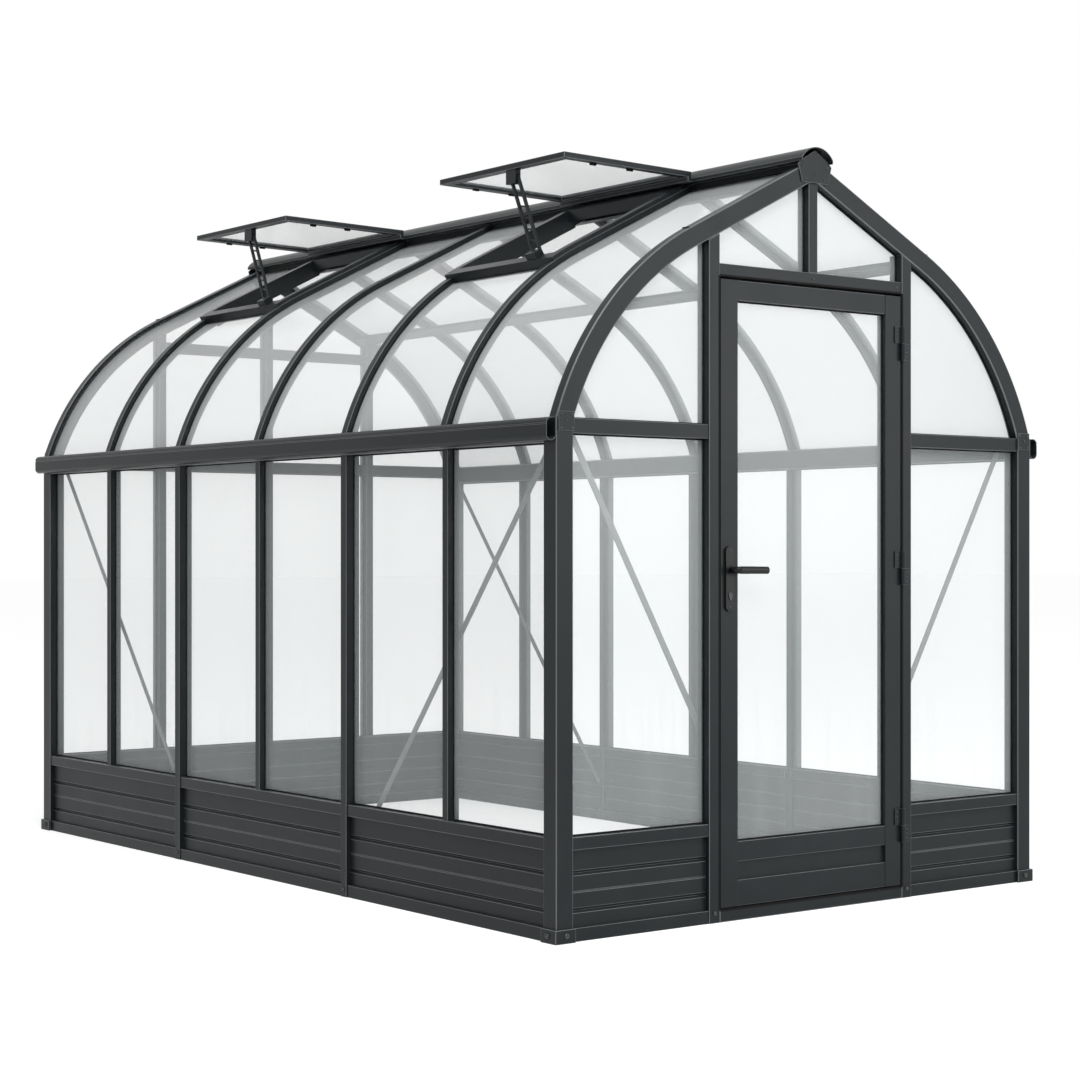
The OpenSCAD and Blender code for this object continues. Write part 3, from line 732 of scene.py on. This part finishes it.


# Black rubber strip that lines the doorway as a seal in the door's gap; it and its lap on the
# posts' front faces are painted shadow too, darkening the gap to the eye
liningAndGapShadow = {"thick": 0.0026, "thin": 0.0012, "lap": 0.0050, "proud": 0.0012, "back": 0.044}
# The lap is painted shadow: a thin black bead on the post's face beside the gap, which makes the
# gap read wider and darker
liningAndGapShadowSection = np.array([
    [-liningAndGapShadow["lap"], 0.0003], [-liningAndGapShadow["lap"], -liningAndGapShadow["proud"]], [0.0006, -liningAndGapShadow["proud"]],
    [liningAndGapShadow["thick"], 0.0014], [liningAndGapShadow["thick"], 0.010], [liningAndGapShadow["thin"], 0.013],
    [liningAndGapShadow["thin"], liningAndGapShadow["back"]], [-0.0003, liningAndGapShadow["back"]], [-0.0003, 0.0003],
])
doorwayX = doorPostHigh.x - postLook["doorWide"]
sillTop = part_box("door_threshold")[1].z
cross = doorwayX - liningAndGapShadow["thick"]
sealStrips(
    "doorway_lining",
    [
        ((-doorwayX, -halfLength, sillTop), (-doorwayX, -halfLength, headFoot),
         (1, 0, 0), (0, 1, 0)),
        ((doorwayX, -halfLength, sillTop), (doorwayX, -halfLength, headFoot),
         (-1, 0, 0), (0, 1, 0)),
        ((-cross, headLow.y, headFoot), (cross, headLow.y, headFoot), (0, 0, -1), (0, 1, 0)),
        ((-cross, -halfLength, sillTop), (cross, -halfLength, sillTop), (0, 0, 1), (0, 1, 0)),
    ],
    liningAndGapShadowSection, "house",
)

# Lever handles: an oval section carried along a path that leaves the plate, turns a soft
# elbow and runs along the door, thinning and drooping slightly to a rounded tip
leverLook = {
    "out": 0.035, "elbow": 0.015, "neck": 0.0102, "gripTall": 0.0125, "gripDeep": 0.0085,
    "tipTall": 0.0118, "tipDeep": 0.0072, "length": 0.136, "droop": 0.001, "tip": 0.009,
    "swell": 0.03, "squareness": 0.85, "end": 0.0004, "plate": 0.0022,
}
leverX, _, leverZ = frame["joints"][1]["pos_m"]


def leverPath():
    k = leverLook
    straight = np.linspace(0.0, k["out"] - k["elbow"], 6)
    neck = np.stack([straight * 0, straight], axis=-1)
    bend = np.linspace(0, math.pi / 2, 12)[1:]
    elbow = np.stack([k["elbow"] * (1 - np.cos(bend)),
                      k["out"] - k["elbow"] + k["elbow"] * np.sin(bend)], axis=-1)
    run = np.linspace(k["elbow"], k["length"] - k["tip"], 24)[1:]
    grip = np.stack([run, np.full(len(run), k["out"])], axis=-1)
    tip = np.linspace(0, math.pi / 2, 8)[1:]
    end = np.stack([k["length"] - k["tip"] + k["tip"] * np.sin(tip), np.full(len(tip), k["out"])],
                   axis=-1)
    return np.concatenate([neck, elbow, grip, end])


# Each section is a rounded square: sign(cos) * |cos| ** squareness times its half depth
# across, and the same of the sine times its half height up
def leverSkin(label, plateY, outward):
    k = leverLook
    path = leverPath()
    step = np.gradient(path, axis=0)
    step = step / np.linalg.norm(step, axis=1, keepdims=True)
    sideways = np.stack([step[:, 1], -step[:, 0]], axis=-1)
    travel = np.concatenate([[0.0], np.cumsum(np.linalg.norm(np.diff(path, axis=0), axis=1))])
    share = np.clip((travel - k["out"] * 0.5) / k["swell"], 0, 1)
    taper = np.clip(path[:, 0] / k["length"], 0, 1)
    tall = k["neck"] + (k["gripTall"] + (k["tipTall"] - k["gripTall"]) * taper - k["neck"]) * share
    deep = k["neck"] + (k["gripDeep"] + (k["tipDeep"] - k["gripDeep"]) * taper - k["neck"]) * share
    beyond = np.clip((path[:, 0] - (k["length"] - k["tip"])) / k["tip"], 0, 1)
    rounding = np.sqrt(np.clip(1 - beyond ** 2, 0.0, 1))
    tall, deep = tall * rounding, deep * rounding
    tall[-1] = deep[-1] = k["end"]
    angle = np.linspace(0, 2 * math.pi, 28, endpoint=False)
    across = np.sign(np.cos(angle)) * np.abs(np.cos(angle)) ** k["squareness"]
    up = np.sign(np.sin(angle)) * np.abs(np.sin(angle)) ** k["squareness"]
    x = path[:, 0:1] + sideways[:, 0:1] * deep[:, None] * across
    y = path[:, 1:2] + sideways[:, 1:2] * deep[:, None] * across
    z = tall[:, None] * up - k["droop"] * taper[:, None] ** 2
    grid = np.stack([leverX + x, plateY + outward * (k["plate"] + y), leverZ + z], axis=-1)
    ends = np.array([grid[0].mean(axis=0), grid[-1].mean(axis=0)])
    verts = np.concatenate([grid.reshape(-1, 3), ends])
    rows, sides = grid.shape[:2]
    faces = gridFaces(rows, sides, False, True)
    total = rows * sides
    last = (rows - 1) * sides
    faces += [[total, (t + 1) % sides, t] for t in range(sides)]
    faces += [[total + 1, last + t, last + (t + 1) % sides] for t in range(sides)]
    return newPiece("lever_" + label, verts, faces, blackSatin, "lever")


outerLever = leverSkin("outer", handleLow.y, -1.0)
innerLever = leverSkin("inner", handleHigh.y, 1.0)
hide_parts("door_handle")
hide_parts("door_handle")
collarRadius = 0.0135


# Collars on the plates round the lever necks
def ringOutline(grow, count=40):
    angle = np.linspace(0, 2 * math.pi, count, endpoint=False)
    radius = collarRadius + grow
    return np.stack([radius * np.cos(angle), radius * np.sin(angle)], axis=-1)


for label, y, outward in (("outer", handleLow.y, -1.0), ("inner", handleHigh.y, 1.0)):
    steppedBoss("lever_collar_" + label, ringOutline,
                [(0.0, -0.001), (0.0, 0.0008), (-0.0012, 0.0018)],
                (leverX, y, leverZ), outward, blackSatin, "door")
print("handles made")

# Clips that hold the vents' sheets: two short rounded blocks under each side rail. The
# rail's underside climbs from the hinge at the sash's tilt
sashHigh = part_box("vent_sashes")[1]
clipLook = {"length": 0.024, "depth": 0.0075, "wide": 0.010, "sink": 0.0015,
            "fromHinge": (0.27, 0.43), "fromMiddle": 0.350}
sashLook = {"halfWide": 0.370, "hingeBelowTop": 0.0298, "tilt": math.radians(1.0)}
clipSection = np.array([
    [0.0, clipLook["sink"]], [0.0, -clipLook["depth"] * 0.6],
    [clipLook["wide"] * 0.25, -clipLook["depth"]], [clipLook["wide"] * 0.75, -clipLook["depth"]],
    [clipLook["wide"], -clipLook["depth"] * 0.6], [clipLook["wide"], clipLook["sink"]],
])
sashMid = sashHigh.y - sashLook["halfWide"]
clipRuns = []
for middle in (-sashMid, sashMid):
    for side in (-1, 1):
        for reach in clipLook["fromHinge"]:
            x = sashHigh.x - reach
            y = middle + side * clipLook["fromMiddle"]
            z = sashHigh.z - sashLook["hingeBelowTop"] + math.sin(sashLook["tilt"]) * reach
            clipRuns.append(((x, y, z), (x + clipLook["length"], y, z), (0, -side, 0), (0, 0, 1)))
sealStrips("sash_clips", clipRuns, clipSection, "house")

# Studio: a pale floor, an even white room, a soft light high on the left and a low fill
studio = {
    "room": 0.60, "floorShade": 0.80, "floorGlow": 0.50, "floorReach": 90.0,
    "aim": (0.0, 0.0, 1.2),
}


# 1 for rays from the eye, in reflections and through glass, 0 for the rays that carry light
def farRays(f):
    kinds = ("Is Camera Ray", "Is Glossy Ray", "Is Transmission Ray")
    camera, glossy, through = (f.add("ShaderNodeLightPath", output=kind) for kind in kinds)
    return camera.maths("MAXIMUM", camera, camera.maths("MAXIMUM", glossy, through))


f = Finish(bpy.data.materials.new("pale_floor"))
matt = f.add("ShaderNodeBsdfDiffuse", {}, {"Color": tint([studio["floorShade"]] * 3)})
glow = f.add("ShaderNodeEmission", {},
             {"Color": (1, 1, 1, 1), "Strength": farRays(f) * studio["floorGlow"]})
floorFinish = f.close(f.add("ShaderNodeAddShader", {}, {0: matt, 1: glow}))
floorMesh = bpy.data.meshes.new("studio_floor")
reach = studio["floorReach"]
floorMesh.from_pydata(
    [(-reach, -reach, 0), (reach, -reach, 0), (reach, reach, 0), (-reach, reach, 0)],
    [], [(0, 1, 2, 3)],
)
floorMesh.materials.append(floorFinish)
floor = bpy.data.objects.new("studio_floor", floorMesh)
bpy.context.scene.collection.objects.link(floor)

# The room is plain white to the eye and in reflections, and dimmer as a light
f = Finish(bpy.data.worlds.new("white_room"))
strength = studio["room"] + farRays(f) * (1.0 - studio["room"])
room = f.add("ShaderNodeBackground", {}, {"Color": (1, 1, 1, 1), "Strength": strength})
bpy.context.scene.world = f.close(room, "ShaderNodeOutputWorld")

# Power in watts, place and size in metres
softLights = {
    "soft_key": {"power": 800.0, "place": (-3.4, -8.0, 9.0), "size": 5.0},
    "soft_fill": {"power": 270.0, "place": (6.5, -10.5, 3.2), "size": 4.5},
}
for name, light in softLights.items():
    lamp = bpy.data.lights.new(name, "AREA")
    lamp.energy = light["power"]
    lamp.shape = "SQUARE"
    lamp.size = light["size"]
    stand = bpy.data.objects.new(name, lamp)
    stand.location = light["place"]
    aim = np.array(studio["aim"]) - np.array(light["place"])
    stand.rotation_euler = (
        math.acos(-aim[2] / np.linalg.norm(aim)), 0.0, math.atan2(aim[1], aim[0]) - math.pi / 2
    )
    bpy.context.scene.collection.objects.link(stand)

eye = {"place": (-5.188, -7.277, 1.1885), "turn": 38.43, "lens": 75.06,
       "shiftX": -0.065, "shiftY": 0.0119}
lens = bpy.data.cameras.new("view")
lens.lens = eye["lens"]
lens.sensor_width = 36.0
lens.shift_x = eye["shiftX"]
lens.shift_y = eye["shiftY"]
lens.clip_end = 400.0
camera = bpy.data.objects.new("view", lens)
camera.location = eye["place"]
camera.rotation_euler = (math.pi / 2, 0.0, -math.radians(eye["turn"]))
bpy.context.scene.collection.objects.link(camera)
bpy.context.scene.camera = camera
bpy.context.scene.view_settings.view_transform = "Standard"
bpy.context.scene.cycles.transparent_max_bounces = 24
print("studio set")
